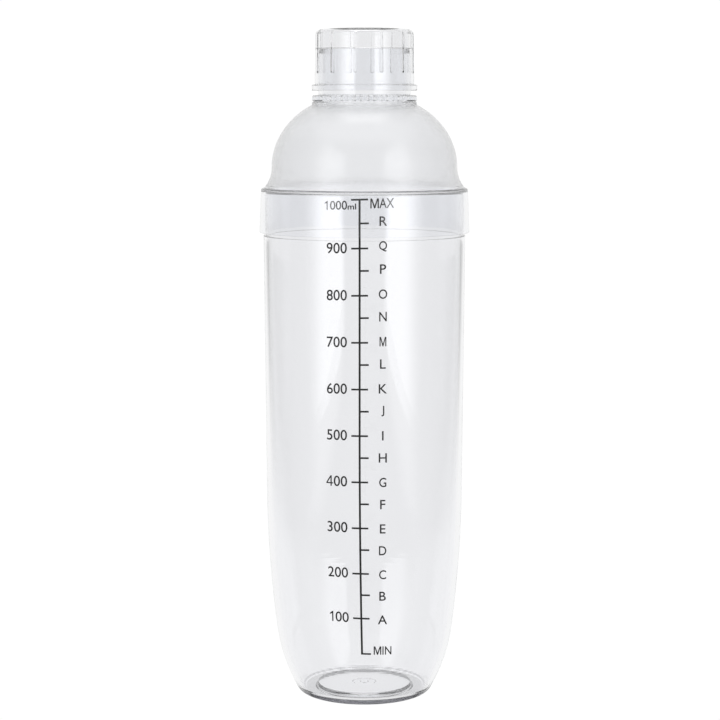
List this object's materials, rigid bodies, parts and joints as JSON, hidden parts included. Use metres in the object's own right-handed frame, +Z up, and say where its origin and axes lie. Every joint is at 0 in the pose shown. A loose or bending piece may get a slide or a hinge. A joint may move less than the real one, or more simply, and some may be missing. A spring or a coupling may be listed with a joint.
{
  "type": "shaker bottle",
  "caption": "Tall clear plastic shaker: tapered cup with a recessed foot and printed scale, domed strainer lid with a slip-over skirt, and a fluted push-on cap.",
  "frame": {"origin": "centre of the foot, on the surface the shaker stands on", "axes": "+Z up along the shaker's axis; the printed scale faces -Y and reads left to right along +X"},
  "size_m": [0.0896, 0.0896, 0.2863],
  "materials": {
    "cup_plastic": "clear polished polycarbonate",
    "lid_plastic": "clear polished skirt and neck, faintly hazy dome",
    "cap_plastic": "clear polished polycarbonate",
    "scale_ink": "near-black screen-printed ink"
  },
  "bodies": {
    "cup": {"cup": "cup_plastic"},
    "strainer_lid": {"strainer_lid": "lid_plastic"},
    "cap": {"cap": "cap_plastic"}
  },
  "joints": [
    {"name": "lid_lift", "type": "slide", "parent": "cup", "child": "strainer_lid", "axis": [0, 0, 1], "range_m": [0, 0.08]},
    {"name": "cap_lift", "type": "slide", "parent": "strainer_lid", "child": "cap", "axis": [0, 0, 1], "range_m": [0, 0.05]}
  ]
}
